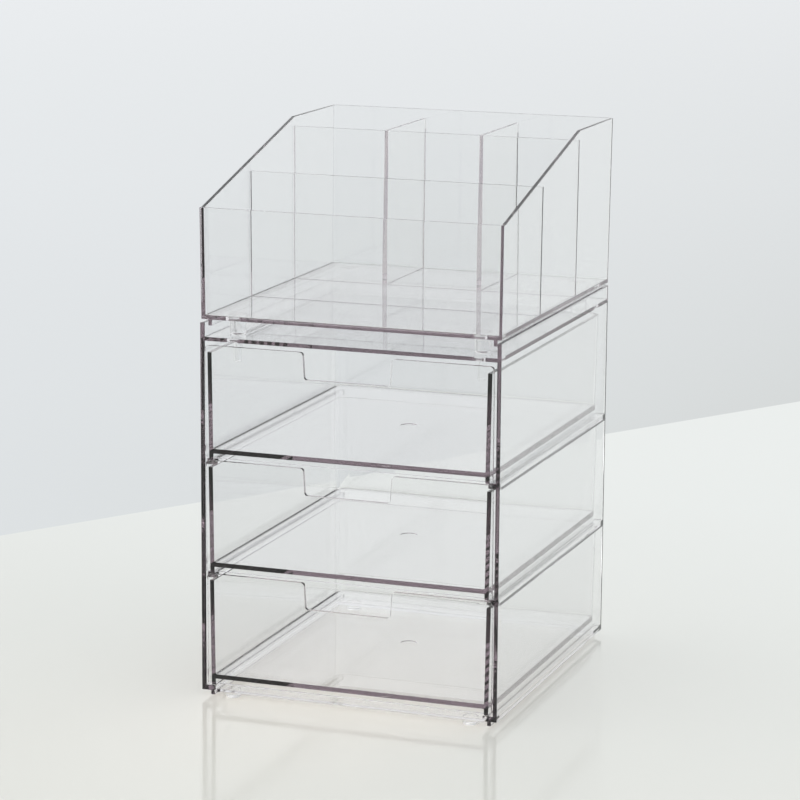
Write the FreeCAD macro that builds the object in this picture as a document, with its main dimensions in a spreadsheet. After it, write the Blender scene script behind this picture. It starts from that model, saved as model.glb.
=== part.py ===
import FreeCAD, Part
import os
from types import SimpleNamespace

import Sketcher
from FreeCAD import Vector

# Clear plastic vanity organizer: a cabinet with three drawers, and a tray with five compartments
# that stands in the cabinet's rim. Millimetres; the origin is the middle of the footprint on the
# table, +Z is up and the drawers open towards -Y.

SIZES = (
    # cabinet walls and top
    ("cabinet_width", 175.0, "outside, side to side"),
    ("cabinet_depth", 205.0, "outside, front to back"),
    ("cabinet_wall", 2.5, "side and back walls"),
    ("cabinet_corner", 4.0, "outside radius of the rear corners"),
    ("cabinet_lift", 4.0, "table to the bottom edge of the walls"),
    ("top_clearance", 2.3, "top bay to the underside of the top plate"),
    ("top_plate_thickness", 2.2, ""),
    ("rim_height", 7.9, "walls above the top plate"),
    # rails that the drawers run on
    ("bay_pitch", 65.0, "one drawer to the next"),
    ("rail_width", 5.7, ""),
    ("rail_thickness", 3.0, ""),
    ("rail_gusset", 1.0, "bevel under the rail, against the wall"),
    ("rail_nose", 2.5, "radius of the rail's front corner"),
    ("closing_clearance", 1.2, "closed front panel to the rails' front ends"),
    # base
    ("base_rib_width", 2.2, ""),
    ("base_rib_inset", 1.75, "rib to the plane of the wall's inside"),
    ("base_rib_recess", 3.1, "rib's ends behind the cabinet's front and back"),
    ("base_rib_clearance", 0.6, "rib to the table"),
    ("base_strip_depth", 11.0, "front to back"),
    ("base_strip_thickness", 1.8, ""),
    ("base_strip_drop", 0.6, "strip's underside below the walls"),
    ("foot_diameter", 8.8, ""),
    ("foot_side_inset", 16.8, "centre from the cabinet's side"),
    ("foot_end_inset", 5.5, "centre from the strip's outer edge"),
    ("foot_round", 0.8, ""),
    # drawer fronts
    ("panel_thickness", 2.4, ""),
    ("panel_side_clearance", 0.95, "panel to the cabinet's wall"),
    ("panel_lift", 1.3, "panel's lower edge above its rails"),
    ("panel_top_clearance", 0.3, "panel's upper edge to the runners above"),
    ("panel_corner", 2.0, "radius of the upper corners"),
    ("notch_width", 51.8, "finger notch at its top"),
    ("notch_taper", 1.5, "narrowing of each side of the notch"),
    ("notch_depth", 15.2, ""),
    ("notch_corner", 3.0, "radius at the notch's floor"),
    ("notch_lip", 2.0, "radius where the notch meets the upper edge"),
    # drawer tubs
    ("tub_inset", 1.1, "tub's side behind the panel's side"),
    ("tub_drop", 3.9, "tub's walls below the panel's upper edge"),
    ("tub_wall", 2.5, ""),
    ("tub_draft", 0.8, "narrowing of each side from top to runner"),
    ("tub_floor_thickness", 2.6, ""),
    ("tub_fillet", 1.5, "inside, where the floor meets the walls"),
    ("tub_corner", 8.0, "outside radius of the rear corners"),
    ("tub_rear_clearance", 1.1, "tub to the cabinet's back wall"),
    ("runner_depth", 3.6, "runners below the tub's floor"),
    ("gate_diameter", 6.5, "moulding gate mark in the tub's floor"),
    ("gate_depth", 0.3, ""),
    # organizer tray
    ("rim_clearance", 1.7, "cabinet's rim to the tray's underside"),
    ("tray_overhang", 0.6, "tray's upper edge beyond each side of the cabinet"),
    ("tray_height", 97.6, "underside to the back wall's top"),
    ("tray_front_height", 62.1, "underside to the front wall's top"),
    ("tray_wall", 2.0, ""),
    ("tray_floor_thickness", 2.1, ""),
    ("tray_draft", 0.85, "narrowing of each side from top to underside"),
    ("tray_corner", 3.0, "outside radius of the rear corners"),
    ("tray_base_round", 1.5, "outside radius round the underside"),
    ("tray_fillet", 1.5, "inside, where the floor meets the walls"),
    ("partition_thickness", 1.8, ""),
    ("front_partition_place", 70.0, "middle plane from the cabinet's front"),
    ("front_partition_height", 73.9, "its top above the underside"),
    ("rear_partition_place", 136.8, "middle plane from the cabinet's front"),
    ("rear_partition_height", 92.1, "its top above the underside"),
    ("divider_place", 29.0, "middle plane of each divider from the centre"),
    # what locates the tray on the cabinet
    ("locating_rib_width", 2.1, ""),
    ("locating_rib_depth", 3.8, "below the underside"),
    ("locating_rib_clearance", 1.0, "rib to the inside of the cabinet's rim"),
    ("tray_foot_diameter", 9.1, ""),
    ("tray_foot_side_inset", 16.0, "centre from the cabinet's side"),
    ("tray_foot_end_inset", 16.0, "centre from the cabinet's front or back"),
    ("socket_clearance", 0.35, "foot to its socket, all round"),
    ("socket_depth", 1.0, "sockets in the top plate"),
)

document = FreeCAD.newDocument("VanityOrganizer")
sheet = document.addObject("Spreadsheet::Sheet", "Sizes")
for row, (alias, number, note) in enumerate(SIZES, 1):
    sheet.set(f"A{row}", alias)
    sheet.set(f"B{row}", str(number))
    sheet.setAlias(f"B{row}", alias)
    sheet.set(f"C{row}", note)
document.recompute()


class Size:
    # A length that carries both its number and the spreadsheet formula that gives it.
    def __init__(self, number, formula):
        self.number = number
        self.formula = formula

    def join(self, other, sign, number):
        return Size(number, f"({self.formula} {sign} {other.formula})")

    def __add__(self, other):
        other = as_size(other)
        return self.join(other, "+", self.number + other.number)

    def __sub__(self, other):
        other = as_size(other)
        return self.join(other, "-", self.number - other.number)

    def __mul__(self, other):
        other = as_size(other)
        return self.join(other, "*", self.number * other.number)

    def __truediv__(self, other):
        other = as_size(other)
        return self.join(other, "/", self.number / other.number)

    def __neg__(self):
        return as_size(0) - self

    def __rmul__(self, other):
        return as_size(other) * self

    def __rsub__(self, other):
        return as_size(other) - self


def as_size(value):
    return value if isinstance(value, Size) else Size(value, str(value))


size = SimpleNamespace(**{alias: Size(number, f"Sizes.{alias}") for alias, number, _ in SIZES})
zero = as_size(0)
tolerance = 1e-3  # lengths closer than this count as equal


# ---- shared construction ----

subparts = []


def bind(target, property_name, value):
    target.setExpression(property_name, as_size(value).formula)


def new_subpart(label, x=zero, y=zero, z=zero):
    body = document.addObject("PartDesign::Body", label)
    body.Label = label
    for axis, value in zip("xyz", (x, y, z)):
        bind(body, f"Placement.Base.{axis}", value)
    subparts.append(body)
    return body


def attach(feature, body, plane_role):
    plane = next(item for item in body.Origin.OriginFeatures if item.Role == plane_role)
    feature.AttachmentSupport = (plane, "")
    feature.MapMode = "FlatFace"


def new_sketch(body, name, plane_role, offset=zero):
    sketch = body.newObject("Sketcher::SketchObject", f"{body.Name}_{name}")
    attach(sketch, body, plane_role)
    bind(sketch, "AttachmentOffset.Base.z", offset)
    return sketch


def pin_point(sketch, geometry, point, across, up):
    for kind, value in (("DistanceX", across), ("DistanceY", up)):
        value = as_size(value)
        constraint = Sketcher.Constraint(kind, -1, 1, geometry, point, value.number)
        index = sketch.addConstraint(constraint)
        sketch.setExpression(f"Constraints[{index}]", value.formula)


def draw_polygon(sketch, points):
    points = [(as_size(across), as_size(up)) for across, up in points]
    ends = points[1:] + points[:1]
    for start, end in zip(points, ends):
        line_start = Vector(start[0].number, start[1].number, 0)
        line_end = Vector(end[0].number, end[1].number, 0)
        sketch.addGeometry(Part.LineSegment(line_start, line_end), False)
    for line in range(len(points)):
        before = line - 1 if line else len(points) - 1
        sketch.addConstraint(Sketcher.Constraint("Coincident", before, 2, line, 1))
        pin_point(sketch, line, 1, *points[line])


def draw_rectangle(sketch, left, right, low, high):
    draw_polygon(sketch, [(left, low), (right, low), (right, high), (left, high)])


def draw_circle(sketch, across, up, diameter):
    centre = Vector(as_size(across).number, as_size(up).number, 0)
    circle = sketch.addGeometry(Part.Circle(centre, Vector(0, 0, 1), diameter.number / 2), False)
    pin_point(sketch, circle, 3, across, up)
    index = sketch.addConstraint(Sketcher.Constraint("Diameter", circle, diameter.number))
    sketch.setExpression(f"Constraints[{index}]", diameter.formula)


def pad(body, sketch, length):
    feature = body.newObject("PartDesign::Pad", f"{sketch.Name}_pad")
    feature.Profile = sketch
    bind(feature, "Length", length)
    sketch.Visibility = False
    return feature


def pocket(body, sketch, depth, upwards=False):
    feature = body.newObject("PartDesign::Pocket", f"{sketch.Name}_pocket")
    feature.Profile = sketch
    feature.Reversed = upwards
    bind(feature, "Length", depth)
    sketch.Visibility = False
    return feature


def drafted_block(body, kind, name, levels, lower, upper):
    # Adds or cuts a block whose sides lean; lower and upper are (left, right, front, rear).
    feature = body.newObject(f"PartDesign::{kind}Wedge", f"{body.Name}_{name}")
    attach(feature, body, "XZ_Plane")
    for end, level in zip(("Ymin", "Ymax"), levels):
        bind(feature, end, level)
    for digit, (left, right, front, rear) in (("", lower), ("2", upper)):
        bind(feature, f"X{digit}min", left)
        bind(feature, f"X{digit}max", right)
        bind(feature, f"Z{digit}min", -rear)
        bind(feature, f"Z{digit}max", -front)
    return feature


def round_edges(body, name, radius, chosen):
    # Rounds the edges of the body, as it stands, that the test picks.
    document.recompute()
    base = body.Tip
    names = [f"Edge{n}" for n, edge in enumerate(base.Shape.Edges, 1) if chosen(edge)]
    feature = body.newObject("PartDesign::Fillet", f"{body.Name}_{name}")
    feature.Base = (base, names)
    bind(feature, "Radius", radius)
    return feature


def runs_along(edge, axis):
    mostly = 0.9
    direction = edge.tangentAt(edge.FirstParameter)
    return abs(getattr(direction, axis)) > mostly


def middle(edge):
    return edge.BoundBox.Center


# ---- planes and levels that several pieces share ----

half_width = size.cabinet_width / 2
half_depth = size.cabinet_depth / 2
wall_inside = half_width - size.cabinet_wall
back_inside = half_depth - size.cabinet_wall
inner_corner = size.cabinet_corner - size.cabinet_wall
bay_count = 3
lowest_rail_top = size.cabinet_lift + size.rail_thickness
top_plate_bottom = lowest_rail_top + bay_count * size.bay_pitch + size.top_clearance
top_plate_top = top_plate_bottom + size.top_plate_thickness
rim_top = top_plate_top + size.rim_height
sides = (("left", -1), ("right", 1))


# ---- cabinet ----

def make_cabinet_shell():
    # One wall that wraps round the left side, the back and the right side.
    body = new_subpart("cabinet_shell", z=size.cabinet_lift)
    outline = new_sketch(body, "outline", "XY_Plane")
    draw_polygon(outline, [
        (-half_width, -half_depth), (-wall_inside, -half_depth),
        (-wall_inside, back_inside), (wall_inside, back_inside),
        (wall_inside, -half_depth), (half_width, -half_depth),
        (half_width, half_depth), (-half_width, half_depth),
    ])
    pad(body, outline, rim_top - size.cabinet_lift)
    outside = (half_depth + back_inside).number / 2
    round_edges(body, "outer_corners", size.cabinet_corner,
                lambda edge: runs_along(edge, "z") and middle(edge).y > outside)
    round_edges(body, "inner_corners", inner_corner,
                lambda edge: runs_along(edge, "z") and abs(middle(edge).y - back_inside.number) < tolerance)


def make_top_plate():
    body = new_subpart("top_plate", z=top_plate_bottom)
    outline = new_sketch(body, "outline", "XY_Plane")
    draw_rectangle(outline, -wall_inside, wall_inside, -half_depth, back_inside)
    pad(body, outline, size.top_plate_thickness)
    round_edges(body, "corners", inner_corner,
                lambda edge: runs_along(edge, "z") and middle(edge).y > 0)
    sockets = new_sketch(body, "sockets", "XY_Plane", size.top_plate_thickness)
    for x, y in tray_foot_places():
        draw_circle(sockets, x, y, size.tray_foot_diameter + 2 * size.socket_clearance)
    pocket(body, sockets, size.socket_depth)


def make_rail(label, side, level, front, gusset):
    # Runs from near the front to the back wall; the base rail has no gusset under it.
    body = new_subpart(label, z=level)
    profile = new_sketch(body, "profile", "XZ_Plane", -front)
    inside = side * (wall_inside - size.rail_width)
    outside = side * wall_inside
    points = [(inside, -size.rail_thickness), (inside, zero), (outside, zero)]
    if gusset:
        points.append((outside, -size.rail_thickness - size.rail_gusset))
        points.append((side * (wall_inside - size.rail_gusset), -size.rail_thickness))
    else:
        points.append((outside, -size.rail_thickness))
    draw_polygon(profile, points)
    feature = pad(body, profile, back_inside - front)
    feature.Reversed = True
    round_edges(body, "rear_corner", inner_corner,
                lambda edge: runs_along(edge, "z") and middle(edge).y > 0
                and abs(middle(edge).x - outside.number) < tolerance)
    if gusset:
        round_edges(body, "nose", size.rail_nose,
                    lambda edge: runs_along(edge, "z") and middle(edge).y < 0
                    and abs(middle(edge).x - inside.number) < tolerance)


def make_rails():
    for side_name, side in sides:
        for number, bay in enumerate(("lower", "middle", "upper")):
            front = -half_depth
            if number:
                front = -half_depth + size.panel_thickness + size.closing_clearance
            level = lowest_rail_top + number * size.bay_pitch
            make_rail(f"rail_{bay}_{side_name}", side, level, front, gusset=number > 0)


def make_base():
    # A rib hangs under each lower rail, and a strip joins the lower rails at each end.
    rail_inside = wall_inside - size.rail_width
    rib_outside = wall_inside - size.base_rib_inset
    rib_end = half_depth - size.base_rib_recess
    for side_name, side in sides:
        rib = new_subpart(f"base_rib_{side_name}", z=size.base_rib_clearance)
        outline = new_sketch(rib, "outline", "XY_Plane")
        edges = (side * rib_outside, side * (rib_outside - size.base_rib_width))
        draw_rectangle(outline, edges[0], edges[1], -rib_end, rib_end)
        pad(rib, outline, size.cabinet_lift - size.base_rib_clearance)
    strip_level = size.cabinet_lift - size.base_strip_drop
    for end_name, end, edge in (("front", -1, half_depth), ("rear", 1, back_inside)):
        strip = new_subpart(f"base_strip_{end_name}", z=strip_level)
        outline = new_sketch(strip, "outline", "XY_Plane")
        draw_rectangle(outline, -rail_inside, rail_inside, end * edge, end * (edge - size.base_strip_depth))
        pad(strip, outline, size.base_strip_thickness)
        for side_name, side in sides:
            x = side * (half_width - size.foot_side_inset)
            y = end * (edge - size.foot_end_inset)
            make_foot(f"foot_{end_name}_{side_name}", x, y, zero, strip_level, size.foot_diameter)


def make_foot(label, x, y, bottom, height, diameter):
    body = new_subpart(label, x, y, bottom)
    outline = new_sketch(body, "outline", "XY_Plane")
    draw_circle(outline, zero, zero, diameter)
    pad(body, outline, height)
    round_edges(body, "tread", size.foot_round, lambda edge: abs(middle(edge).z) < tolerance)


# ---- drawers ----

panel_half = wall_inside - size.panel_side_clearance
panel_top = size.bay_pitch - size.panel_top_clearance
tub_top = panel_top - size.tub_drop
tub_floor_top = size.runner_depth + size.tub_floor_thickness
tub_front = -half_depth + size.panel_thickness
tub_half = panel_half - size.tub_inset
tub_rear = back_inside - size.tub_rear_clearance


def make_drawer_panel(label, level):
    body = new_subpart(label, z=level)
    outline = new_sketch(body, "outline", "XZ_Plane", half_depth - size.panel_thickness)
    notch_half = size.notch_width / 2
    notch_floor_half = notch_half - size.notch_taper
    notch_floor = panel_top - size.notch_depth
    draw_polygon(outline, [
        (-panel_half, size.panel_lift), (panel_half, size.panel_lift),
        (panel_half, panel_top), (notch_half, panel_top),
        (notch_floor_half, notch_floor), (-notch_floor_half, notch_floor),
        (-notch_half, panel_top), (-panel_half, panel_top),
    ])
    pad(body, outline, size.panel_thickness)

    def corner(x, z):
        return lambda edge: (runs_along(edge, "y") and abs(abs(middle(edge).x) - x.number) < tolerance
                             and abs(middle(edge).z - z.number) < tolerance)

    round_edges(body, "corners", size.panel_corner, corner(panel_half, panel_top))
    round_edges(body, "notch_corners", size.notch_corner, corner(notch_floor_half, notch_floor))
    round_edges(body, "notch_lips", size.notch_lip, corner(notch_half, panel_top))


def tub_inset_at(height):
    return size.tub_draft * (1 - height / tub_top)


def tub_edges(front, inset):
    return inset - tub_half, tub_half - inset, front, tub_rear - inset


def make_drawer_tub(label, level):
    # Floor, two sides and a back in one moulding; its sides go on below the floor as runners.
    body = new_subpart(label, z=level)
    drafted_block(body, "Additive", "block", (zero, tub_top),
                  tub_edges(tub_front, tub_inset_at(zero)), tub_edges(tub_front, zero))
    drafted_block(body, "Subtractive", "hollow", (tub_floor_top, tub_top),
                  tub_edges(-half_depth, tub_inset_at(tub_floor_top) + size.tub_wall),
                  tub_edges(-half_depth, size.tub_wall))
    round_edges(body, "inner_corners", size.tub_corner - size.tub_wall,
                lambda edge: runs_along(edge, "z") and middle(edge).y > 0
                and abs(edge.BoundBox.ZMin - tub_floor_top.number) < tolerance)
    round_edges(body, "floor_fillet", size.tub_fillet,
                lambda edge: edge.BoundBox.ZLength < tolerance
                and abs(middle(edge).z - tub_floor_top.number) < tolerance
                and middle(edge).y > tub_front.number + tolerance)
    round_edges(body, "outer_corners", size.tub_corner,
                lambda edge: runs_along(edge, "z") and middle(edge).y > 0
                and edge.BoundBox.ZMin < tolerance)

    under = new_sketch(body, "under", "XY_Plane")
    runner_inside = tub_half - size.tub_draft - size.tub_wall
    draw_rectangle(under, -runner_inside, runner_inside, -half_depth, half_depth)
    pocket(body, under, size.runner_depth, upwards=True)
    gate = new_sketch(body, "gate", "XY_Plane", tub_floor_top)
    draw_circle(gate, zero, (tub_front + tub_rear) / 2, size.gate_diameter)
    pocket(body, gate, size.gate_depth)


def make_drawers():
    for number, bay in enumerate(("bottom", "middle", "top")):
        level = lowest_rail_top + number * size.bay_pitch
        make_drawer_tub(f"drawer_{bay}_tub", level)
        make_drawer_panel(f"drawer_{bay}_front", level)


# ---- organizer tray ----

tray_bottom = rim_top + size.rim_clearance
tray_half = half_width + size.tray_overhang
rear_partition_y = size.rear_partition_place - half_depth
front_partition_y = size.front_partition_place - half_depth
half_partition = size.partition_thickness / 2


def tray_inset_at(height):
    return size.tray_draft * (1 - height / size.tray_height)


def tray_inner_half(height):
    return tray_half - size.tray_wall - tray_inset_at(height)


def tray_inner_rear(height):
    return half_depth - size.tray_wall - tray_inset_at(height)


def tray_edges(inset):
    return inset - tray_half, tray_half - inset, inset - half_depth, half_depth - inset


def tray_foot_places():
    x = half_width - size.tray_foot_side_inset
    y = half_depth - size.tray_foot_end_inset
    return [(-x, -y), (x, -y), (-x, y), (x, y)]


def make_tray():
    body = new_subpart("tray", z=tray_bottom)
    drafted_block(body, "Additive", "block", (zero, size.tray_height),
                  tray_edges(tray_inset_at(zero)), tray_edges(zero))
    round_edges(body, "outer_corners", size.tray_corner,
                lambda edge: runs_along(edge, "z") and middle(edge).y > 0)
    round_edges(body, "base_round", size.tray_base_round, lambda edge: edge.BoundBox.ZMax < tolerance)

    drafted_block(body, "Subtractive", "hollow", (size.tray_floor_thickness, size.tray_height),
                  tray_edges(tray_inset_at(size.tray_floor_thickness) + size.tray_wall),
                  tray_edges(size.tray_wall))
    floor_level = size.tray_floor_thickness.number
    round_edges(body, "inner_corners", size.tray_corner - size.tray_wall,
                lambda edge: runs_along(edge, "z") and middle(edge).y > 0
                and abs(edge.BoundBox.ZMin - floor_level) < tolerance)
    round_edges(body, "floor_fillet", size.tray_fillet,
                lambda edge: edge.BoundBox.ZLength < tolerance
                and abs(middle(edge).z - floor_level) < tolerance)

    # The side walls slope from the front wall's top up to the rear partition.
    slope = new_sketch(body, "slope", "YZ_Plane", -tray_half)
    front_wall_back = -half_depth + size.tray_wall + size.tray_draft
    draw_polygon(slope, [
        (-half_depth, size.tray_front_height), (front_wall_back, size.tray_front_height),
        (rear_partition_y, size.tray_height), (-half_depth, size.tray_height),
    ])
    pocket(body, slope, 2 * tray_half, upwards=True)


def make_partition(label, y, height):
    # Reaches both drafted side walls; its lower corners follow the fillets along the floor.
    body = new_subpart(label, y=y, z=tray_bottom)
    outline = new_sketch(body, "outline", "XZ_Plane", -half_partition)
    foot = tray_inner_half(size.tray_floor_thickness)
    head = tray_inner_half(height)
    draw_polygon(outline, [
        (-foot, size.tray_floor_thickness), (foot, size.tray_floor_thickness),
        (head, height), (-head, height),
    ])
    pad(body, outline, size.partition_thickness)
    round_edges(body, "lower_corners", size.tray_fillet,
                lambda edge: runs_along(edge, "y")
                and abs(middle(edge).z - size.tray_floor_thickness.number) < tolerance)


def make_divider(label, x):
    # Stands between the rear partition and the drafted back wall, as high as the partition.
    body = new_subpart(label, x=x, z=tray_bottom)
    outline = new_sketch(body, "outline", "YZ_Plane", -half_partition)
    front = rear_partition_y + half_partition
    foot = tray_inner_rear(size.tray_floor_thickness)
    draw_polygon(outline, [
        (front, size.tray_floor_thickness), (foot, size.tray_floor_thickness),
        (tray_inner_rear(size.rear_partition_height), size.rear_partition_height),
        (front, size.rear_partition_height),
    ])
    pad(body, outline, size.partition_thickness)
    round_edges(body, "lower_corner", size.tray_fillet,
                lambda edge: runs_along(edge, "x")
                and abs(middle(edge).z - size.tray_floor_thickness.number) < tolerance
                and middle(edge).y > (front + half_partition).number)


def make_locating_rib(label, side):
    outside = wall_inside - size.locating_rib_clearance
    reach = back_inside - size.locating_rib_clearance
    body = new_subpart(label, z=tray_bottom - size.locating_rib_depth)
    outline = new_sketch(body, "outline", "XY_Plane")
    draw_rectangle(outline, side * outside, side * (outside - size.locating_rib_width), -reach, reach)
    pad(body, outline, size.locating_rib_depth)


def make_organizer():
    make_tray()
    make_partition("tray_front_partition", front_partition_y, size.front_partition_height)
    make_partition("tray_rear_partition", rear_partition_y, size.rear_partition_height)
    socket_floor = top_plate_top - size.socket_depth
    for side_name, side in sides:
        make_divider(f"tray_divider_{side_name}", side * size.divider_place)
        make_locating_rib(f"tray_rib_{side_name}", side)
    names = ("front_left", "front_right", "rear_left", "rear_right")
    for name, (x, y) in zip(names, tray_foot_places()):
        make_foot(f"tray_foot_{name}", x, y, socket_floor, tray_bottom - socket_floor,
                  size.tray_foot_diameter)


def check_document():
    for item in document.Objects:
        if {"Invalid", "Error"} & set(item.State):
            raise RuntimeError(f"{item.Label} is {item.State}")
    for body in subparts:
        shape = body.Shape
        if shape.isNull() or not shape.isValid() or len(shape.Solids) != 1:
            raise RuntimeError(f"{body.Label} is not one valid solid")


def write_steps():
    os.makedirs("parts", exist_ok=True)
    for body in subparts:
        body.Shape.exportStep(f"parts/{body.Label}.step")
        print(f"{body.Label}: {body.Shape.Volume / 1000:.2f} cm3")


make_cabinet_shell()
make_top_plate()
make_rails()
make_base()
make_drawers()
make_organizer()
document.recompute()
check_document()
write_steps()
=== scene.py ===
import math

import bmesh
import bpy
from mathutils import Matrix, Vector


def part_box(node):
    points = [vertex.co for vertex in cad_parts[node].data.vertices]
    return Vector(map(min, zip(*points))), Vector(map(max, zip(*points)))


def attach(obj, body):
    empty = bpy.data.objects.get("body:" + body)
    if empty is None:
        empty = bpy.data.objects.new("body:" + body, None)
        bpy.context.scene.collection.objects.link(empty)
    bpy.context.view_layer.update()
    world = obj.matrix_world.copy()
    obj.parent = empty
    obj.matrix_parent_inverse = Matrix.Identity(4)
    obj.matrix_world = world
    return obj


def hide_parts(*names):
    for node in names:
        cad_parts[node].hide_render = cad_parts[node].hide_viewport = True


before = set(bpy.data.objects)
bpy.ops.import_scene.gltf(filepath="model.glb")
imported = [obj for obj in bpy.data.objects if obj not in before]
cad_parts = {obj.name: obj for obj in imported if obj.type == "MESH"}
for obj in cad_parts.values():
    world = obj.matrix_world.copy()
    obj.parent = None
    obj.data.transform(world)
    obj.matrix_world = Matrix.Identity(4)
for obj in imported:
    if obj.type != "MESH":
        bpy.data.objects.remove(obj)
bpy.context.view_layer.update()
scene = bpy.context.scene
mm = 0.001
boardCorner = 0.3 * mm  # corner radius of plain boards and of what cuts them
cutClear = 1 * mm  # how far a cut starts outside the face that it opens
mergeDistance = 0.001 * mm


def nodesNamed(*starts):
    return [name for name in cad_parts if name.startswith(starts)]


# Outlines are lists of 2-D points, anticlockwise.

def circlePoints(centre, radius, steps=48):
    angles = [2 * math.pi * step / steps for step in range(steps)]
    return [(centre[0] + radius * math.cos(a), centre[1] + radius * math.sin(a)) for a in angles]


def roundCorners(corners, steps=6):
    # corners are (x, y, radius); a concave corner works as well
    outline = []
    for index, (x, y, radius) in enumerate(corners):
        if radius <= 0:
            outline.append((x, y))
            continue
        here = Vector((x, y))
        before = (Vector(corners[index - 1][:2]) - here).normalized()
        after = (Vector(corners[(index + 1) % len(corners)][:2]) - here).normalized()
        half = before.angle(after) / 2
        centre = here + (before + after).normalized() * radius / math.sin(half)
        reach = radius / math.tan(half)
        start = here + before * reach - centre
        turn = start.angle_signed(here + after * reach - centre)
        count = max(2, round(steps * abs(turn) / (math.pi / 2)))
        for step in range(count + 1):
            spoke = start.copy()
            spoke.rotate(Matrix.Rotation(-turn * step / count, 2))
            outline.append(tuple(centre + spoke))
    return outline


def rectangle(left, right, low, high, radius=boardCorner):
    corners = [(left, low), (right, low), (right, high), (left, high)]
    return roundCorners([(*corner, radius) for corner in corners])


def insetOutline(outline, distance):
    # every side moves inwards by the same distance
    result = []
    for index, point in enumerate(outline):
        here = Vector(point)
        before = (here - Vector(outline[index - 1])).normalized()
        after = (Vector(outline[(index + 1) % len(outline)]) - here).normalized()
        normals = [Vector((-side.y, side.x)) for side in (before, after)]
        middle = (normals[0] + normals[1]).normalized()
        result.append(tuple(here + middle * distance / middle.dot(normals[0])))
    return result


def edgeSteps(edgeRound, steps=3):
    # (inset, rise) along a quarter round, from the flat face to the side
    for step in range(steps + 1):
        angle = math.pi / 2 * step / steps
        yield edgeRound * (1 - math.sin(angle)), edgeRound * (1 - math.cos(angle))


def skinRings(name, rings):
    # one closed skin over equal rings of points, with a face over each end
    bm = bmesh.new()
    rows = [[bm.verts.new(point) for point in ring] for ring in rings]
    count = len(rows[0])
    for lower, upper in zip(rows, rows[1:]):
        for index in range(count):
            after = (index + 1) % count
            bm.faces.new((lower[index], lower[after], upper[after], upper[index]))
    ends = [bm.faces.new(rows[0]), bm.faces.new(rows[-1])]
    bm.normal_update()
    bmesh.ops.triangulate(bm, faces=ends)
    bmesh.ops.remove_doubles(bm, verts=bm.verts, dist=mergeDistance)
    bmesh.ops.recalc_face_normals(bm, faces=bm.faces)
    mesh = bpy.data.meshes.new(name)
    bm.to_mesh(mesh)
    bm.free()
    return newObject(name, mesh)


def newObject(name, data):
    obj = bpy.data.objects.new(name, data)
    scene.collection.objects.link(obj)
    return obj


def roundedPlate(name, outline, low, high, axis, edgeRound):
    # an outline pushed along an axis, its edges rounded; the outline is (x, y), (x, z) or (y, z)
    place = {
        "z": lambda u, v, w: (u, v, w),
        "y": lambda u, v, w: (u, w, v),
        "x": lambda u, v, w: (w, u, v),
    }[axis]
    steps = list(edgeSteps(edgeRound))
    levels = [(inset, low + rise) for inset, rise in steps]
    levels += [(inset, high - rise) for inset, rise in reversed(steps)]
    rings = [[place(u, v, level) for u, v in insetOutline(outline, inset)] for inset, level in levels]
    return skinRings(name, rings)


def turnedPart(name, profile, steps=40):
    # a turned solid about the z axis; the profile is (radius, height) from the bottom up
    return skinRings(name, [[(x, y, height) for x, y in circlePoints((0, 0), radius, steps)]
                            for radius, height in profile])


def bakedMesh(obj, name):
    depsgraph = bpy.context.evaluated_depsgraph_get()
    mesh = bpy.data.meshes.new_from_object(obj.evaluated_get(depsgraph))
    mesh.name = name
    return mesh


def combine(name, base, *steps):
    # one skin from overlapping parts; each step is an operation and the parts that it takes
    used = [base]
    for operation, parts in steps:
        for part in parts:
            modifier = base.modifiers.new(part.name, "BOOLEAN")
            modifier.operation = operation
            modifier.solver = "MANIFOLD"
            modifier.object = part
            used.append(part)
    mesh = bakedMesh(base, name)
    for part in used:
        bpy.data.objects.remove(part)
    bm = bmesh.new()
    bm.from_mesh(mesh)
    openEdges = sum(not edge.is_manifold for edge in bm.edges)
    millilitres = round(bm.calc_volume() * 1e6, 1)
    print(name, len(bm.faces), "faces,", openEdges, "open edges,", millilitres, "ml")
    bm.free()
    return newObject(name, mesh)


def finishPiece(obj, material, bodyName, sharpAngle=50):
    # rounded edges shade smooth, flat faces stay flat
    mesh = obj.data
    bm = bmesh.new()
    bm.from_mesh(mesh)
    limit = math.radians(sharpAngle)
    for face in bm.faces:
        face.smooth = True
    for edge in bm.edges:
        edge.smooth = edge.is_manifold and edge.calc_face_angle(0) < limit
    bm.to_mesh(mesh)
    bm.free()
    modifier = obj.modifiers.new("flatFaces", "WEIGHTED_NORMAL")
    modifier.keep_sharp = True
    obj.data = bakedMesh(obj, obj.name)
    obj.modifiers.clear()
    obj.data.materials.clear()
    obj.data.materials.append(material)
    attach(obj, bodyName)


# Geometry Nodes that repeat a part, along a line or at the corners of a grid.

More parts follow.
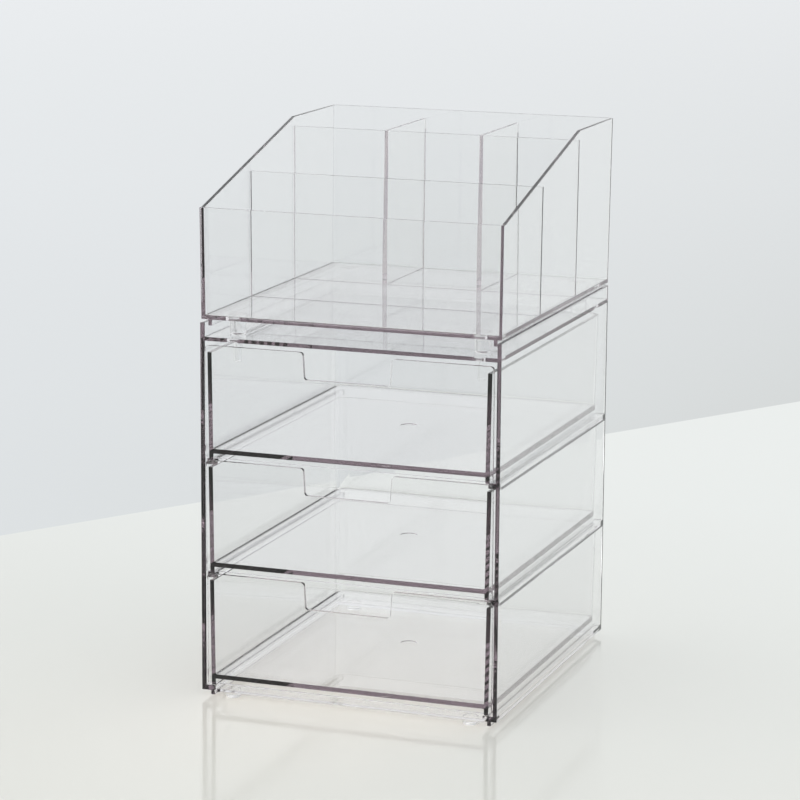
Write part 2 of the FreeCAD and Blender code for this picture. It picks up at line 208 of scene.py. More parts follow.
def copiesTree(name, pointsNode, settings):
    tree = bpy.data.node_groups.new(name, "GeometryNodeTree")
    tree.interface.new_socket("Geometry", in_out="OUTPUT", socket_type="NodeSocketGeometry")
    for label, kind in settings.items():
        tree.interface.new_socket(label, in_out="INPUT", socket_type=kind)
    nodes, links = tree.nodes, tree.links
    start, end = nodes.new("NodeGroupInput"), nodes.new("NodeGroupOutput")
    points, instances = nodes.new(pointsNode), nodes.new("GeometryNodeInstanceOnPoints")
    part, realize = nodes.new("GeometryNodeObjectInfo"), nodes.new("GeometryNodeRealizeInstances")
    shift, paint = nodes.new("GeometryNodeSetPosition"), nodes.new("GeometryNodeSetMaterial")
    links.new(start.outputs["Part"], part.inputs["Object"])
    for label in settings:
        if label in points.inputs:
            links.new(start.outputs[label], points.inputs[label])
    links.new(points.outputs["Mesh"], shift.inputs["Geometry"])
    links.new(start.outputs["Place"], shift.inputs["Offset"])
    links.new(shift.outputs["Geometry"], instances.inputs["Points"])
    links.new(part.outputs["Geometry"], instances.inputs["Instance"])
    links.new(instances.outputs["Instances"], realize.inputs["Geometry"])
    links.new(realize.outputs["Geometry"], paint.inputs["Geometry"])
    links.new(start.outputs["Material"], paint.inputs["Material"])
    links.new(paint.outputs["Geometry"], end.inputs["Geometry"])
    return tree


rowTree = copiesTree("rowOfCopies", "GeometryNodeMeshLine", {
    "Part": "NodeSocketObject", "Place": "NodeSocketVector", "Count": "NodeSocketInt",
    "Offset": "NodeSocketVector", "Material": "NodeSocketMaterial",
})
gridTree = copiesTree("gridOfCopies", "GeometryNodeMeshGrid", {
    "Part": "NodeSocketObject", "Place": "NodeSocketVector", "Size X": "NodeSocketFloat",
    "Size Y": "NodeSocketFloat", "Vertices X": "NodeSocketInt", "Vertices Y": "NodeSocketInt",
    "Material": "NodeSocketMaterial",
})


def makeCopies(name, tree, part, values):
    # the part is drawn at the origin; the copies come back as one plain mesh
    holder = newObject(name, bpy.data.meshes.new(name))
    modifier = holder.modifiers.new("copies", "NODES")
    modifier.node_group = tree
    values = {"Part": part, **values}
    for item in tree.interface.items_tree:
        if item.in_out == "INPUT":
            modifier[item.identifier] = values[item.name]
    mesh = bakedMesh(holder, name)
    bpy.data.objects.remove(holder)
    bpy.data.objects.remove(part)
    return newObject(name, mesh)


def cornerCopies(name, part, feet, material):
    # one copy over each of the four CAD feet
    low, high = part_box(feet + "front_left")
    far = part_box(feet + "rear_right")[1]
    middle, span = (low + far) / 2, far - high
    return makeCopies(name, gridTree, part, {
        "Place": (middle.x, middle.y, 0), "Size X": span.x, "Size Y": span.y,
        "Vertices X": 2, "Vertices Y": 2, "Material": material,
    })


# Clear plastic: polished faces with a little handling wear, and a grey-violet tint that only shows
# where light runs the length of a wall.

markPattern = {
    "sockets": {"Smudge Size": 30, "Speck Size": 700, "Roughness": 0, "Smudges": 0.02, "Specks": 0.3},
    "smudgeDetail": 4,
    "smudgeFrom": 0.52,  # noise below this leaves the face clean
    "smudgeFull": 0.78,
    "speckEdge": 0.10,  # only the heart of a cell is a speck
    "speckHeart": 0.04,
    "emptyCells": 0.93,  # share of cells without a speck
    "waveSize": 14,
    "waveDetail": 0.5,
}
colorA, colorB, colorOut = 6, 7, 2  # the colour sockets of a mix node


def newNodes(nodes, *kinds):
    return [nodes.new("ShaderNode" + kind) for kind in kinds]


def makeHandlingMarks(spec):
    group = bpy.data.node_groups.new("handlingMarks", "ShaderNodeTree")
    for label, value in spec["sockets"].items():
        socket = group.interface.new_socket(label, in_out="INPUT", socket_type="NodeSocketFloat")
        socket.default_value = value
    for label in ("Roughness", "Height"):
        group.interface.new_socket(label, in_out="OUTPUT", socket_type="NodeSocketFloat")
    nodes, links = group.nodes, group.links
    start, end = nodes.new("NodeGroupInput"), nodes.new("NodeGroupOutput")
    place, smudge, speck, wave = newNodes(nodes, "TexCoord", "TexNoise", "TexVoronoi", "TexNoise")
    for texture, label in ((smudge, "Smudge Size"), (speck, "Speck Size")):
        links.new(place.outputs["Object"], texture.inputs["Vector"])
        links.new(start.outputs[label], texture.inputs["Scale"])
    smudge.inputs["Detail"].default_value = spec["smudgeDetail"]
    patches, dots = newNodes(nodes, "MapRange", "MapRange")
    links.new(smudge.outputs["Fac"], patches.inputs["Value"])
    patches.inputs["From Min"].default_value = spec["smudgeFrom"]
    patches.inputs["From Max"].default_value = spec["smudgeFull"]
    links.new(start.outputs["Smudges"], patches.inputs["To Max"])
    links.new(speck.outputs["Distance"], dots.inputs["Value"])
    dots.inputs["From Min"].default_value = spec["speckEdge"]
    dots.inputs["From Max"].default_value = spec["speckHeart"]
    links.new(start.outputs["Specks"], dots.inputs["To Max"])
    rare, keep, total, grown = newNodes(nodes, "Math", "Math", "Math", "Math")
    rare.operation, keep.operation = "GREATER_THAN", "MULTIPLY"
    rare.inputs[1].default_value = spec["emptyCells"]
    links.new(speck.outputs["Color"], rare.inputs[0])
    links.new(rare.outputs["Value"], keep.inputs[0])
    links.new(dots.outputs["Result"], keep.inputs[1])
    links.new(start.outputs["Roughness"], total.inputs[0])
    links.new(patches.outputs["Result"], total.inputs[1])
    links.new(total.outputs["Value"], grown.inputs[0])
    links.new(keep.outputs["Value"], grown.inputs[1])
    links.new(grown.outputs["Value"], end.inputs["Roughness"])
    links.new(place.outputs["Object"], wave.inputs["Vector"])
    wave.inputs["Scale"].default_value = spec["waveSize"]
    wave.inputs["Detail"].default_value = spec["waveDetail"]
    links.new(wave.outputs["Fac"], end.inputs["Height"])
    return group


handlingMarks = makeHandlingMarks(markPattern)


def addHazeAndShade(nodes, links, shader, spec):
    # a slight grey tint with a fine grain on one level face: partly surface haze, mostly painted shade that
    # stands in for the darker side of a real room
    hazeAndShade = spec["hazeAndShade"]
    place, split, grain = newNodes(nodes, "TexCoord", "SeparateXYZ", "TexNoise")
    level, share, mix = newNodes(nodes, "Math", "Math", "Mix")
    links.new(place.outputs["Object"], split.inputs["Vector"])
    links.new(place.outputs["Object"], grain.inputs["Vector"])
    grain.inputs["Scale"].default_value = hazeAndShade["grain"]
    level.operation, share.operation = "COMPARE", "MULTIPLY"
    links.new(split.outputs["Z"], level.inputs[0])
    level.inputs[1].default_value = hazeAndShade["level"]
    level.inputs[2].default_value = hazeAndShade["reach"]
    links.new(level.outputs["Value"], share.inputs[0])
    links.new(grain.outputs["Fac"], share.inputs[1])
    mix.data_type = "RGBA"
    links.new(share.outputs["Value"], mix.inputs["Factor"])
    mix.inputs[colorA].default_value = spec["tint"]
    mix.inputs[colorB].default_value = hazeAndShade["tint"]
    links.new(mix.outputs[colorOut], shader.inputs["Base Color"])


def makeClearPlastic(name, spec):
    material = bpy.data.materials.new(name)
    material.use_nodes = True
    nodes, links = material.node_tree.nodes, material.node_tree.links
    shader, output = nodes["Principled BSDF"], nodes["Material Output"]
    shader.inputs["Base Color"].default_value = spec["tint"]
    shader.inputs["IOR"].default_value = spec["ior"]
    shader.inputs["Transmission Weight"].default_value = spec["transmission"]
    marks, bump = newNodes(nodes, "Group", "Bump")
    marks.node_tree = handlingMarks
    for label, value in spec["marks"].items():
        marks.inputs[label].default_value = value
    bump.inputs["Strength"].default_value = spec["waviness"]
    bump.inputs["Distance"].default_value = spec["waveHeight"]
    links.new(marks.outputs["Roughness"], shader.inputs["Roughness"])
    links.new(marks.outputs["Height"], bump.inputs["Height"])
    links.new(bump.outputs["Normal"], shader.inputs["Normal"])
    # painted shade: a grained grey tint on one level face, where the spec asks for it
    if "hazeAndShade" in spec:
        addHazeAndShade(nodes, links, shader, spec)
    # lamps reach what lies behind the plastic, so its shadow stays pale
    path, clear, mix = newNodes(nodes, "LightPath", "BsdfTransparent", "MixShader")
    clear.inputs["Color"].default_value = spec["shadowTint"]
    links.new(path.outputs["Is Shadow Ray"], mix.inputs["Fac"])
    links.new(shader.outputs["BSDF"], mix.inputs[1])
    links.new(clear.outputs["BSDF"], mix.inputs[2])
    links.new(mix.outputs["Shader"], output.inputs["Surface"])
    absorption = nodes.new("ShaderNodeVolumeAbsorption")
    absorption.inputs["Color"].default_value = spec["absorbColor"]
    absorption.inputs["Density"].default_value = spec["absorbDensity"]
    links.new(absorption.outputs["Volume"], output.inputs["Volume"])
    return material


clearPlastic = {
    "tint": (0.985, 0.99, 0.99, 1),
    "ior": 1.52,
    "transmission": 1,
    "absorbColor": (0.155, 0.0, 0.08, 1),
    "absorbDensity": 8.5,
    "shadowTint": (0.995, 0.99, 0.985, 1),
    "waviness": 0.02,
    "waveHeight": 1 * mm,
    "marks": {"Roughness": 0.0, "Smudges": 0.015, "Specks": 0.25},
}
softPlastic = {
    **clearPlastic,
    "ior": 1.43,
    "absorbColor": (0.9, 0.9, 0.9, 1),
    "absorbDensity": 3,
    "marks": {"Roughness": 0.18, "Smudges": 0.05, "Specks": 0.3},
}
# painted shade on the top plate's upper face: a grained grey tint for the darker side of the room
plateHazeAndShade = {
    "level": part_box("top_plate")[1].z,
    "reach": 0.05 * mm,
    "tint": (0.64, 0.64, 0.64, 1),
    "grain": 900,
}
cabinetPlastic = makeClearPlastic("cabinetPlastic", {**clearPlastic, "hazeAndShade": plateHazeAndShade})
drawerPlastic = makeClearPlastic("drawerPlastic", {**clearPlastic, "ior": 1.53})
footPlastic = makeClearPlastic("footPlastic", softPlastic)
print("materials made")


# The camera is set before the pieces.

cameraView = {
    "place": (0.6056, -1.69185, 0.52917),
    "yaw": 19.905,
    "pitch": 11.68,
    "roll": 0.404,
    "lens": 143.5,
    "sensor": 36,
}


def makeCamera(spec):
    yaw, pitch, roll = (math.radians(spec[key]) for key in ("yaw", "pitch", "roll"))
    forward = Vector((-math.sin(yaw) * math.cos(pitch), math.cos(yaw) * math.cos(pitch), -math.sin(pitch)))
    right = Vector((math.cos(yaw), math.sin(yaw), 0))
    up = right.cross(forward)
    across = right * math.cos(roll) + up * math.sin(roll)
    upright = up * math.cos(roll) - right * math.sin(roll)
    data = bpy.data.cameras.new("camera")
    data.lens, data.sensor_width = spec["lens"], spec["sensor"]
    camera = newObject("camera", data)
    turn = Matrix((across, upright, -forward)).transposed()
    camera.matrix_world = Matrix.Translation(spec["place"]) @ turn.to_4x4()
    scene.camera = camera


makeCamera(cameraView)


# Cabinet: one wall round three sides, a top plate with holes for the tray's pegs, rails, and a ribbed base.

cabinetSizes = {
    "rearCorner": 4 * mm,
    "innerFrontCorner": 0.9 * mm,
    "edgeRound": 0.12 * mm,
    "cornerRound": 0.3 * mm,
    "overlap": 0.8 * mm,  # how far joined parts reach into each other
    "railThickness": 3 * mm,
    "railNose": 2.5 * mm,
    "gusset": 1 * mm,
    "gussetBack": 0.8,  # how far it reaches into the wall, as a share of its size
    "gussetBury": 1 * mm,
    "gussetRound": 0.1 * mm,
    "pegHole": 8.5 * mm,
}


def makeGusset(side, wallFace, front, rear, spec):
    # the small slope between a rail's underside and the wall
    reach = spec["gusset"] if side == "left" else -spec["gusset"]
    under = -spec["railThickness"]
    foot, buried = under - spec["gusset"], under + spec["gussetBury"]
    back, tip = wallFace - reach * spec["gussetBack"], wallFace + reach
    corners = [(back, buried), (back, foot), (wallFace, foot), (tip, under), (tip, buried)]
    if side == "right":
        corners.reverse()
    return roundedPlate("gusset", corners, front, rear, "y", spec["gussetRound"])


def makeRails(side, spec):
    # the lower rail starts at the front edge; the two above it are the same part, a bay apart
    fine, corner, overlap = spec["edgeRound"], spec["cornerRound"], spec["overlap"]
    lowerRail, upperRails = [f"rail_lower_{side}"], [f"rail_middle_{side}", f"rail_upper_{side}"]
    rails = []
    for names, nose in ((lowerRail, corner), (upperRails, spec["railNose"])):
        low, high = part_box(names[0])
        wallSide = low.x - overlap if side == "left" else high.x + overlap
        freeSide = high.x if side == "left" else low.x
        corners = [(wallSide, low.y, corner), (freeSide, low.y, nose),
                   (freeSide, high.y + overlap, corner), (wallSide, high.y + overlap, corner)]
        if side == "right":
            corners.reverse()
        plate = roundedPlate("rail", roundCorners(corners), -spec["railThickness"], 0, "z", fine)
        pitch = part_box(names[-1])[1].z - high.z
        row = {
            "Place": (0, 0, high.z), "Count": len(names), "Offset": (0, 0, pitch), "Material": cabinetPlastic,
        }
        rails.append(makeCopies(f"{side}Rails", rowTree, plate, row))
        if nose > corner:
            wallFace = low.x if side == "left" else high.x
            gusset = makeGusset(side, wallFace, low.y + nose, high.y + overlap, spec)
            rails.append(makeCopies(f"{side}Gussets", rowTree, gusset, row))
    return rails


def makeBasePart(node, spec):
    low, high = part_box(node)
    overlap = spec["overlap"]
    if "rib" in node:
        high.z += overlap
    else:
        low.x -= overlap
        high.x += overlap
        high.y += overlap if "rear" in node else 0
    outline = rectangle(low.x, high.x, low.z, high.z)
    return roundedPlate(node + "Part", outline, low.y, high.y, "y", spec["edgeRound"])


def makePegHoles(bottom, top, spec):
    # the tray's pegs stand in these
    circle = circlePoints((0, 0), spec["pegHole"] / 2)
    disc = roundedPlate("pegHole", circle, bottom - cutClear, top + cutClear, "z", spec["edgeRound"])
    return cornerCopies("pegHoles", disc, "tray_foot_", cabinetPlastic)


def makeCabinet(spec):
    shellLow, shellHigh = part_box("cabinet_shell")
    plateLow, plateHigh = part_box("top_plate")
    wall = plateLow.x - shellLow.x
    fine, corner, overlap = spec["edgeRound"], spec["cornerRound"], spec["overlap"]
    rearCorner, innerFront = spec["rearCorner"], spec["innerFrontCorner"]
    outline = roundCorners([
        (shellLow.x, shellLow.y, corner), (plateLow.x, shellLow.y, innerFront),
        (plateLow.x, plateHigh.y, rearCorner - wall), (plateHigh.x, plateHigh.y, rearCorner - wall),
        (plateHigh.x, shellLow.y, innerFront), (shellHigh.x, shellLow.y, corner),
        (shellHigh.x, shellHigh.y, rearCorner), (shellLow.x, shellHigh.y, rearCorner),
    ])
    shell = roundedPlate("shell", outline, shellLow.z, shellHigh.z, "z", fine)
    top = rectangle(plateLow.x - overlap, plateHigh.x + overlap, plateLow.y, plateHigh.y + overlap)
    parts = [roundedPlate("topPlate", top, plateLow.z, plateHigh.z, "z", fine)]
    parts += makeRails("left", spec) + makeRails("right", spec)
    parts += [makeBasePart(node, spec) for node in nodesNamed("base_")]
    holes = makePegHoles(plateLow.z, plateHigh.z, spec)
    cabinet = combine("cabinetMoulding", shell, ("UNION", parts), ("DIFFERENCE", [holes]))
    finishPiece(cabinet, cabinetPlastic, "cabinet")
    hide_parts(*nodesNamed("cabinet_", "top_", "rail_", "base_"))
    print("cabinet made")


makeCabinet(cabinetSizes)


# Feet: the cabinet's four stand on the table. The tray's four sit in seats in its floor, and a peg under each
# stands in the top plate; the front pegs are long, the rear ones stay clear of the top drawer.

footSizes = {
    "edgeRound": 0.8 * mm,
    "roundShare": 0.3,  # where the middle of the rounding lies
    "topRound": 0.1 * mm,
    "gap": 0.02 * mm,  # between faces that would otherwise coincide
    "trayFootRound": 0.12 * mm,
    "plugRadius": 5.0 * mm,
    "plugGap": 0.1 * mm,
    "pegRadius": 2.5 * mm,
    "pegTip": [(0.9 * mm, 0), (0.5 * mm, 0.25 * mm), (0.25 * mm, 0.9 * mm)],  # (inset, rise) from the tip up
    "frontPeg": 15.5 * mm,
    "frontPegInset": 0.01 * mm,  # keeps its side off that of the short peg around it
    "frontPegBury": 1 * mm,
    "rearPeg": 3.0 * mm,
}


def makeCabinetFeet(spec):
    low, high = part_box("foot_front_left")
    radius, soft, fine = (high.x - low.x) / 2, spec["edgeRound"], spec["topRound"]
    bottom, top = low.z + spec["gap"] / 2, high.z - spec["gap"]
    middle = soft * spec["roundShare"]
    foot = turnedPart("foot", [
        (radius - soft, bottom), (radius - middle, bottom + middle), (radius, bottom + soft),
        (radius, top - fine), (radius - fine, top),
    ])
    feet = cornerCopies("cabinetFeet", foot, "foot_", footPlastic)
    finishPiece(feet, footPlastic, "cabinet")
    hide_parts(*nodesNamed("foot_"))
    print("cabinet feet made")


def makeTrayFeet(spec):
    low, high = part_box("tray_foot_front_left")
    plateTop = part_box("top_plate")[1].z
    plugTop = high.z + traySizes["footSeat"] - spec["plugGap"]
    radius, fine = (high.x - low.x) / 2, spec["trayFootRound"]
    bottom, top = plateTop + spec["gap"], high.z - spec["gap"]
    plug, peg = spec["plugRadius"], spec["pegRadius"]

    def pegProfile(length):
        return [(peg - inset, plateTop - length + rise) for inset, rise in spec["pegTip"]]

    foot = turnedPart("trayFoot", pegProfile(spec["rearPeg"]) + [
        (peg, bottom), (radius - fine, bottom), (radius, bottom + fine),
        (radius, top - fine), (radius - fine, top), (plug, top), (plug, plugTop),
    ])
    heads = cornerCopies("trayFeet", foot, "tray_foot_", footPlastic)
    pegTop = (peg - spec["frontPegInset"], bottom + spec["frontPegBury"])
    longPeg = turnedPart("longPeg", pegProfile(spec["frontPeg"]) + [pegTop])
    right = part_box("tray_foot_front_right")[0]
    pegs = makeCopies("frontPegs", rowTree, longPeg, {
        "Place": (low.x + radius, low.y + radius, 0), "Count": 2, "Offset": (right.x - low.x, 0, 0),
        "Material": footPlastic,
    })
    feet = combine("trayFeet", heads, ("UNION", [pegs]))
    finishPiece(feet, footPlastic, "tray")
    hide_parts(*nodesNamed("tray_foot_"))
    print("tray feet made")


makeCabinetFeet(footSizes)


# Open boxes, with draft on their walls: the drawers' tubs and the tray.

boxSizes = {
    "baseSteps": 4,  # how finely the roundings are drawn
    "filletSteps": 5,
    "breakGap": 0.05 * mm,  # the least distance from the front corner to a break in the sides
}


def openBox(name, spec):
    height, wall, frontWall = spec["height"], spec["wall"], spec["frontWall"]
    rimAt, rimRound, corner = spec["rimAt"], spec["rimRound"], spec["frontCorner"]

    def plan(inset, frontInset, draft, rearRadius):
        side = spec["halfWidth"] - inset - draft
        rear = spec["rear"] - inset - draft
        front = spec["front"] + frontInset + draft * spec["frontDraft"]
        breaks = [max(y, front + corner + boxSizes["breakGap"]) for y in spec["breaks"]]
        corners = [(-side, front, corner), (side, front, corner)]
        corners += [(side, y, 0) for y in breaks]
        corners += [(side, rear, rearRadius), (-side, rear, rearRadius)]
        corners += [(-side, y, 0) for y in reversed(breaks)]
        return roundCorners(corners, spec["cornerSteps"])

    def ring(inset, frontInset, rearRadius, levelAt):
        upper = plan(inset, frontInset, 0, rearRadius)
        lower = plan(inset, frontInset, spec["draft"], rearRadius)
        points = []
        for low, high in zip(lower, upper):
            level = levelAt(high[1])
            place = Vector(low).lerp(Vector(high), level / height)
            points.append((place.x, place.y, spec["bottom"] + level))
        return points

    outside, inside, share = spec["rearCorner"], spec["rearCorner"] - wall, spec["frontRound"]
    rings = []
    for inset, rise in edgeSteps(spec["baseRound"], boxSizes["baseSteps"]):
        rings.append(ring(inset, inset * share, outside - inset / 2, lambda y, rise=rise: rise))
    for inset, drop in reversed(list(edgeSteps(rimRound))):
        rings.append(ring(inset, inset * share, outside, lambda y, drop=drop: rimAt(y) - drop))
    for inset, drop in edgeSteps(rimRound):
        rings.append(ring(wall - inset, frontWall - inset * share, inside,
                          lambda y, drop=drop: rimAt(y) - drop))
    for inset, rise in reversed(list(edgeSteps(spec["fillet"], boxSizes["filletSteps"]))):
        rings.append(ring(wall + inset, frontWall + inset * share, inside - inset / 2,
                          lambda y, rise=rise: spec["floor"] + rise))
    return skinRings(name, rings)


# Drawers: a tub behind a front panel with a finger notch.

drawerSizes = {
    "notchWidth": 51.8 * mm,
    "notchTaper": 0.9 * mm,
    "notchDepth": 15.2 * mm,
    "notchCorner": 1.8 * mm,
    "notchLip": 2 * mm,
    "notchDrop": 1 * mm,  # the tub's hidden front end stays this far under the notch
    "panelCorner": 2 * mm,
    "panelSteps": 8,
    "edgeRound": 0.12 * mm,
    "cornerRound": 0.3 * mm,
    "wall": 2.5 * mm,
    "draft": 0.8 * mm,
    "frontCorner": 0.02 * mm,
    "rearCorner": 8 * mm,
    "cornerSteps": 14,
    "runnerDepth": 3.6 * mm,
    "runnerRound": 0.2 * mm,
    "hollowClear": 5 * mm,  # how far the hollow between the runners is cut past the tub
    "floorThickness": 2.6 * mm,
    "fillet": 0.7 * mm,
    "gateRadius": 4.8 * mm,
    "gateDepth": 0.3 * mm,
    "gateRound": 0.25 * mm,
    "bury": 0.6 * mm,  # the tub's front end lies this deep in the panel
    "play": {"bottom": 0, "middle": -0.5 * mm, "top": -0.85 * mm},  # two rest a little to one side
}


def makePanel(low, high, spec):
    notchHalf = spec["notchWidth"] / 2
    floorHalf = notchHalf - spec["notchTaper"]
    notchFloor = high.z - spec["notchDepth"]
    corner, lip = spec["cornerRound"], spec["notchLip"]
    outline = roundCorners([
        (low.x, low.z, corner), (high.x, low.z, corner), (high.x, high.z, spec["panelCorner"]),
        (notchHalf, high.z, lip), (floorHalf, notchFloor, spec["notchCorner"]),
        (-floorHalf, notchFloor, spec["notchCorner"]), (-notchHalf, high.z, lip),
        (low.x, high.z, spec["panelCorner"]),
    ], spec["panelSteps"])
    return roundedPlate("panel", outline, low.y, high.y, "y", spec["edgeRound"]), notchFloor


def makeDrawer(bay, spec):
    low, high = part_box(f"drawer_{bay}_tub")
    panelLow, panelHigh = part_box(f"drawer_{bay}_front")
    panel, notchFloor = makePanel(panelLow, panelHigh, spec)
    height, bury, fine = high.z - low.z, spec["bury"], spec["edgeRound"]
    shoulder = low.y - bury / 4  # in front of this the rim drops out of sight behind the notch
    frontRim = notchFloor - low.z - spec["notchDrop"]
    floorLevel = spec["runnerDepth"] + spec["floorThickness"]
    tub = openBox("tub", {
        **spec, "halfWidth": high.x, "front": low.y - bury, "rear": high.y, "bottom": low.z, "height": height,
        "frontWall": bury / 2, "frontDraft": 0, "frontRound": 0, "baseRound": fine, "rimRound": fine,
        "floor": floorLevel, "breaks": [shoulder],
        "rimAt": lambda y: height if y > shoulder - mergeDistance else frontRim,
    })
    clear = spec["hollowClear"]
    hollowHalf = high.x - spec["draft"] - spec["wall"]
    hollow = rectangle(-hollowHalf, hollowHalf, low.z - clear, low.z + spec["runnerDepth"])
    under = roundedPlate("underside", hollow, low.y - clear, high.y + clear, "y", spec["runnerRound"])
    circle, floorTop = circlePoints((0, (low.y + high.y) / 2), spec["gateRadius"]), low.z + floorLevel
    gateMark = roundedPlate("gateMark", circle, floorTop - spec["gateDepth"], floorTop + cutClear, "z",
                            spec["gateRound"])
    drawer = combine(f"drawer{bay.capitalize()}Moulding", tub, ("DIFFERENCE", [under, gateMark]),
                     ("UNION", [panel]))
    drawer.data.transform(Matrix.Translation((spec["play"][bay], 0, 0)))
    finishPiece(drawer, drawerPlastic, f"drawer_{bay}")
    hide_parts(f"drawer_{bay}_tub", f"drawer_{bay}_front")


for bay in ("bottom", "middle", "top"):
    makeDrawer(bay, drawerSizes)
print("drawers made")


# Tray: an open box with a sloping rim, two partitions, two dividers and a rib under each side.

traySizes = {
    "frontHeight": 62.1 * mm,
    "wall": 2 * mm,
    "frontWall": 2 * mm,
    "draft": 0.85 * mm,
    "floor": 2.1 * mm,
    "frontCorner": 0.3 * mm,
    "rearCorner": 3 * mm,
    "cornerSteps": 8,
    "baseRound": 0.3 * mm,
    "fillet": 0.5 * mm,
    "rimRound": 0.15 * mm,
    "overlap": 0.8 * mm,
    "dividerTop": 2.0 * mm,
    "dividerFoot": 3.0 * mm,
    "footSeat": 1.4 * mm,
    "footSeatRadius": 5.1 * mm,
    "footSeatRound": 0.12 * mm,
}
# painted shade on the tray's floor: the same grained grey tint, a little darker
trayHazeAndShade = {
    **plateHazeAndShade,
    "level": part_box("tray")[0].z + traySizes["floor"],
    "tint": (0.6, 0.6, 0.6, 1),
}
trayPlastic = makeClearPlastic("trayPlastic", {
    **clearPlastic, "marks": {"Smudges": 0.02, "Specks": 0.3}, "hazeAndShade": trayHazeAndShade,
})


def makePartition(node, spec):
    low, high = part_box(node)
    top = high.x + spec["overlap"]
    foot = top - spec["draft"]
    bottom = low.z - spec["overlap"]
    outline = [(-foot, bottom), (foot, bottom), (top, high.z), (-top, high.z)]
    return roundedPlate(node + "Part", outline, low.y, high.y, "y", spec["rimRound"])


def makeDividers(spec):
    # each is thicker at its foot
    low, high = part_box("tray_divider_left")
    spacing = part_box("tray_divider_right")[0].x - low.x
    overlap, top, foot = spec["overlap"], spec["dividerTop"] / 2, spec["dividerFoot"] / 2
    front, rear, bottom = low.y - overlap, high.y + overlap - spec["draft"], low.z - overlap
    outline = [(-foot, bottom), (foot, bottom), (top, high.z), (-top, high.z)]
    board = roundedPlate("divider", outline, front, rear, "y", spec["rimRound"])
    return makeCopies("dividers", rowTree, board, {
        "Place": ((low.x + high.x) / 2, 0, 0), "Count": 2, "Offset": (spacing, 0, 0), "Material": trayPlastic,
    })


def makeTray(spec):
    low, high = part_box("tray")
    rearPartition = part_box("tray_rear_partition")
    height, fine = high.z - low.z, spec["rimRound"]
    slopeStart = low.y + spec["frontWall"] + spec["draft"]
    slopeEnd = (rearPartition[0].y + rearPartition[1].y) / 2

    def rimAt(y):
        share = (y - slopeStart) / (slopeEnd - slopeStart)
        return spec["frontHeight"] + (height - spec["frontHeight"]) * min(1, max(0, share))

    shell = openBox("trayShell", {
        **spec, "halfWidth": high.x, "front": low.y, "rear": high.y, "bottom": low.z, "height": height,
        "frontDraft": 1, "frontRound": 1, "breaks": [slopeStart, slopeEnd], "rimAt": rimAt,
    })
    parts = [makePartition("tray_front_partition", spec), makePartition("tray_rear_partition", spec)]
    parts.append(makeDividers(spec))
    for node in nodesNamed("tray_rib_"):
        ribLow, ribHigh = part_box(node)
        outline = rectangle(ribLow.x, ribHigh.x, ribLow.z, ribHigh.z + spec["overlap"])
        parts.append(roundedPlate(node + "Part", outline, ribLow.y, ribHigh.y, "y", fine))
    bottom, top = low.z - cutClear, low.z + spec["footSeat"]
    circle = circlePoints((0, 0), spec["footSeatRadius"])
    seat = roundedPlate("footSeat", circle, bottom, top, "z", spec["footSeatRound"])
    seats = cornerCopies("footSeats", seat, "tray_foot_", trayPlastic)
    tray = combine("trayMoulding", shell, ("UNION", parts), ("DIFFERENCE", [seats]))
    finishPiece(tray, trayPlastic, "tray")
    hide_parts(*[name for name in nodesNamed("tray") if "foot" not in name])
    print("tray made")


makeTray(traySizes)
makeTrayFeet(footSizes)


# Stage: a pale table that turns into the blue-grey of a far wall, under soft even light. Their tones carry
# painted shade: the table darker towards the front and the left, the wall darker to the right.

stageLook = {
    "halfWidth": 8,
    "back": 14,
    "front": -8,
    # painted shade: the table is darker in front, most on the left, and lighter far off
    "tableNearLeft": (0.765, 0.77, 0.71, 1),
    "tableNearRight": (0.815, 0.82, 0.765, 1),
    "tableFar": (0.85, 0.875, 0.84, 1),
    # painted shade: the wall is darker to the right, most near the table's edge
    "wallNearLeft": (0.71, 0.74, 0.745, 1),
    "wallNearRight": (0.592, 0.615, 0.60, 1),
    "wallFarLeft": (0.715, 0.745, 0.768, 1),
    "wallFarRight": (0.65, 0.674, 0.684, 1),
    "tableAcross": (-0.3, 0.3),  # X from the left tone to the right one
    "tableAlong": (-0.35, 0.45),  # Y from the near tones to the far one
    "edgePoint": (-0.358, 0.194),  # on the table's far edge, which runs at this angle
    "edgeAngle": 58.0,
    "edgeBlend": (-0.001, 0.001),
    "viewDistance": 0.75,  # sideways is a slope, from this far in front of the edge
    "halfDepth": 0.5,  # at this depth the wall is halfway from its near to its far tone
    "depthSpan": (0.0, 1.0),
    "nearSpan": (0.0, 1.0),  # sideways slopes between which the tones turn from left to right
    "farSpan": (0.4, 1.0),
    "fadeSpan": (1.05, 1.5),  # and between which the wall fades into the table's tone
    "roughness": 0.1,
}
lightLook = {
    "skyColor": (0.97, 0.985, 1.0, 1),
    "skyStrength": 0.65,
    "backgroundStrength": 0.95,
    "sunTurn": (-40, 0, -15),
    "sunAngle": 50,
    "sunStrength": 1.25,
    "clearBounces": 48,  # many walls of plastic lie behind one another
    "mirrorBounces": 32,
}


def stagePlane(name, corners, material):
    mesh = bpy.data.meshes.new(name)
    mesh.from_pydata(corners, [], [(0, 1, 2, 3)])
    mesh.materials.append(material)
    plane = newObject(name, mesh)


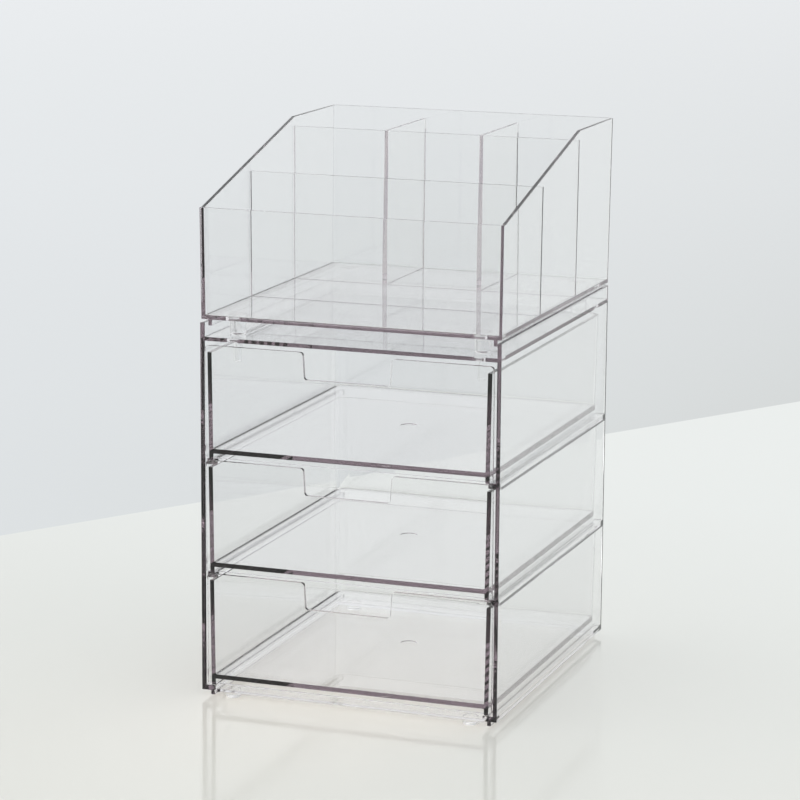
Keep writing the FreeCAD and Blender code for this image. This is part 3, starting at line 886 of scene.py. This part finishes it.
def makeFloor(spec):
    material = bpy.data.materials.new("floorPaint")
    material.use_nodes = True
    nodes, links = material.node_tree.nodes, material.node_tree.links
    shader = nodes["Principled BSDF"]
    shader.inputs["Roughness"].default_value = spec["roughness"]

    def fill(socket, value):
        if isinstance(value, (tuple, float, int)):
            socket.default_value = value
        else:
            links.new(value, socket)

    def calculate(operation, first, second):
        node = nodes.new("ShaderNodeMath")
        node.operation = operation
        fill(node.inputs[0], first)
        fill(node.inputs[1], second)
        return node.outputs["Value"]

    def blend(value, span, colorLow, colorHigh):
        share, mix = newNodes(nodes, "MapRange", "Mix")
        share.inputs["From Min"].default_value, share.inputs["From Max"].default_value = span
        links.new(value, share.inputs["Value"])
        mix.data_type = "RGBA"
        links.new(share.outputs["Result"], mix.inputs["Factor"])
        fill(mix.inputs[colorA], colorLow)
        fill(mix.inputs[colorB], colorHigh)
        return mix.outputs[colorOut]

    place, split, turn, turned = newNodes(nodes, "TexCoord", "SeparateXYZ", "Mapping", "SeparateXYZ")
    links.new(place.outputs["Object"], split.inputs["Vector"])
    turn.vector_type = "TEXTURE"
    turn.inputs["Location"].default_value = (*spec["edgePoint"], 0)
    turn.inputs["Rotation"].default_value = (0, 0, math.radians(spec["edgeAngle"]))
    links.new(place.outputs["Object"], turn.inputs["Vector"])
    links.new(turn.outputs["Vector"], turned.inputs["Vector"])
    along, past = turned.outputs["X"], turned.outputs["Y"]  # along the table's far edge, and past it
    sideways = calculate("DIVIDE", along, calculate("ADD", past, spec["viewDistance"]))
    far = calculate("MAXIMUM", past, 0.0)
    depth = calculate("DIVIDE", past, calculate("ADD", far, spec["halfDepth"]))
    # these left-right and near-far blends paint the fall of the room's light into the floor colour
    wallNear = blend(sideways, spec["nearSpan"], spec["wallNearLeft"], spec["wallNearRight"])
    wallFar = blend(sideways, spec["farSpan"], spec["wallFarLeft"], spec["wallFarRight"])
    tableNear = blend(split.outputs["X"], spec["tableAcross"], spec["tableNearLeft"], spec["tableNearRight"])
    table = blend(split.outputs["Y"], spec["tableAlong"], tableNear, spec["tableFar"])
    farWall = blend(depth, spec["depthSpan"], wallNear, wallFar)
    wall = blend(sideways, spec["fadeSpan"], farWall, table)
    links.new(blend(past, spec["edgeBlend"], table, wall), shader.inputs["Base Color"])
    side, back, front = spec["halfWidth"], spec["back"], spec["front"]
    stagePlane("floor", [(-side, front, 0), (side, front, 0), (side, back, 0), (-side, back, 0)], material)


def makeLight(spec):
    world = bpy.data.worlds.new("studio")
    scene.world = world
    world.use_nodes = True
    nodes, links = world.node_tree.nodes, world.node_tree.links
    sky = nodes["Background"]
    sky.inputs["Color"].default_value = spec["skyColor"]
    sky.inputs["Strength"].default_value = spec["skyStrength"]
    # the camera, and what it sees in and through the plastic, meets a pale background
    pale, path, mix, mirrored, seen = newNodes(nodes, "Background", "LightPath", "MixShader", "Math", "Math")
    pale.inputs["Color"].default_value = spec["skyColor"]
    pale.inputs["Strength"].default_value = spec["backgroundStrength"]
    mirrored.operation, seen.operation = "MAXIMUM", "MAXIMUM"
    links.new(path.outputs["Is Camera Ray"], mirrored.inputs[0])
    links.new(path.outputs["Is Glossy Ray"], mirrored.inputs[1])
    links.new(mirrored.outputs["Value"], seen.inputs[0])
    links.new(path.outputs["Is Transmission Ray"], seen.inputs[1])
    links.new(seen.outputs["Value"], mix.inputs["Fac"])
    links.new(sky.outputs["Background"], mix.inputs[1])
    links.new(pale.outputs["Background"], mix.inputs[2])
    links.new(mix.outputs["Shader"], nodes["World Output"].inputs["Surface"])
    data = bpy.data.lights.new("softSun", "SUN")
    data.angle = math.radians(spec["sunAngle"])
    data.energy = spec["sunStrength"]
    lamp = newObject("softSun", data)
    lamp.rotation_euler = [math.radians(angle) for angle in spec["sunTurn"]]


makeFloor(stageLook)
makeLight(lightLook)
scene.view_settings.view_transform = "Standard"
scene.cycles.max_bounces = lightLook["clearBounces"]
scene.cycles.transmission_bounces = lightLook["clearBounces"]
scene.cycles.glossy_bounces = lightLook["mirrorBounces"]
scene.cycles.transparent_max_bounces = lightLook["mirrorBounces"]
print("stage and light made")
